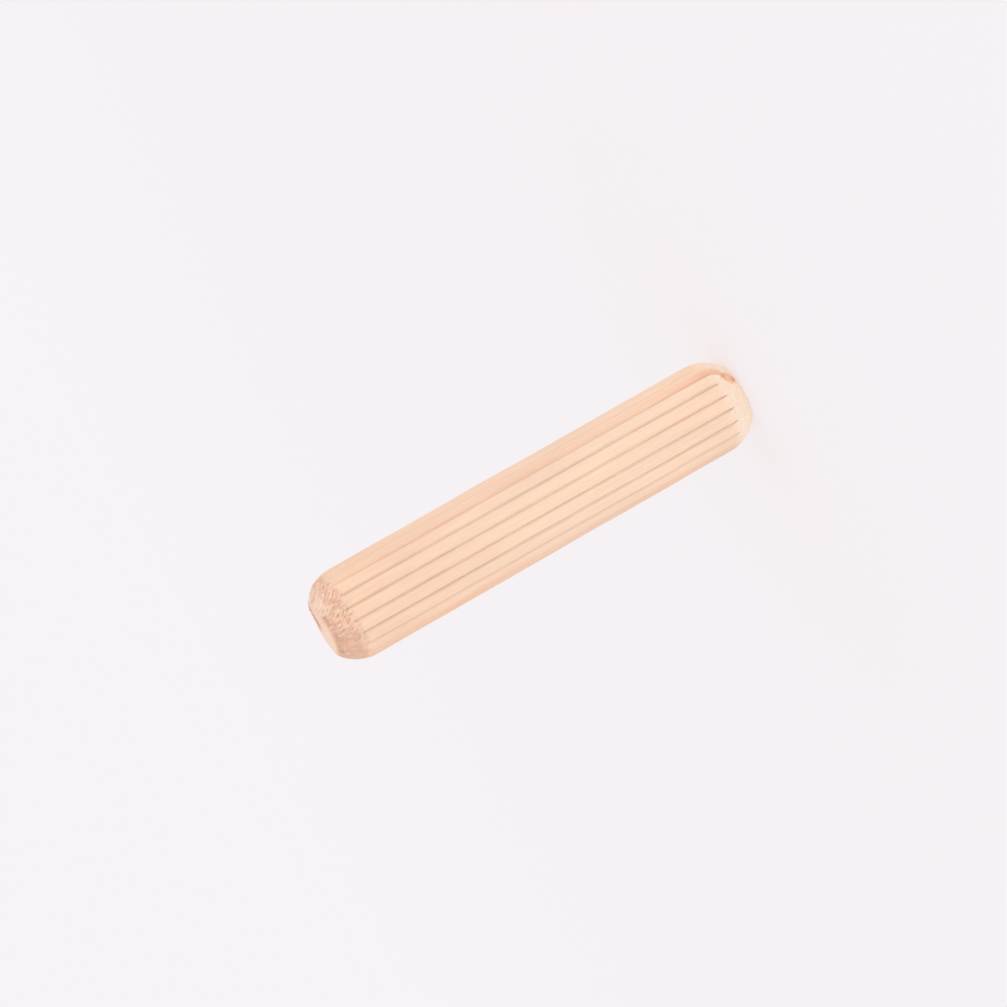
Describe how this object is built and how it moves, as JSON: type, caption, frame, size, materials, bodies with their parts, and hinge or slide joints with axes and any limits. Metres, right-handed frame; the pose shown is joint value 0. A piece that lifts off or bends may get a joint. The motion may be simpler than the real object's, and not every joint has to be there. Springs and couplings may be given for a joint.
{
  "type": "wooden dowel pin",
  "caption": "Round wooden dowel pin, rounded over at both ends, with narrow glue flutes along one side and a plain back.",
  "frame": {"origin": "centre of the flat on the foot, the end that the pin stands on", "axes": "+Z along the pin from the foot to the top end; the middle of the row of flutes faces -Y"},
  "size_m": [0.01, 0.01, 0.05],
  "materials": {
    "beech": "bare sanded beech"
  },
  "bodies": {
    "root": {"dowel": "beech"}
  },
  "joints": []
}
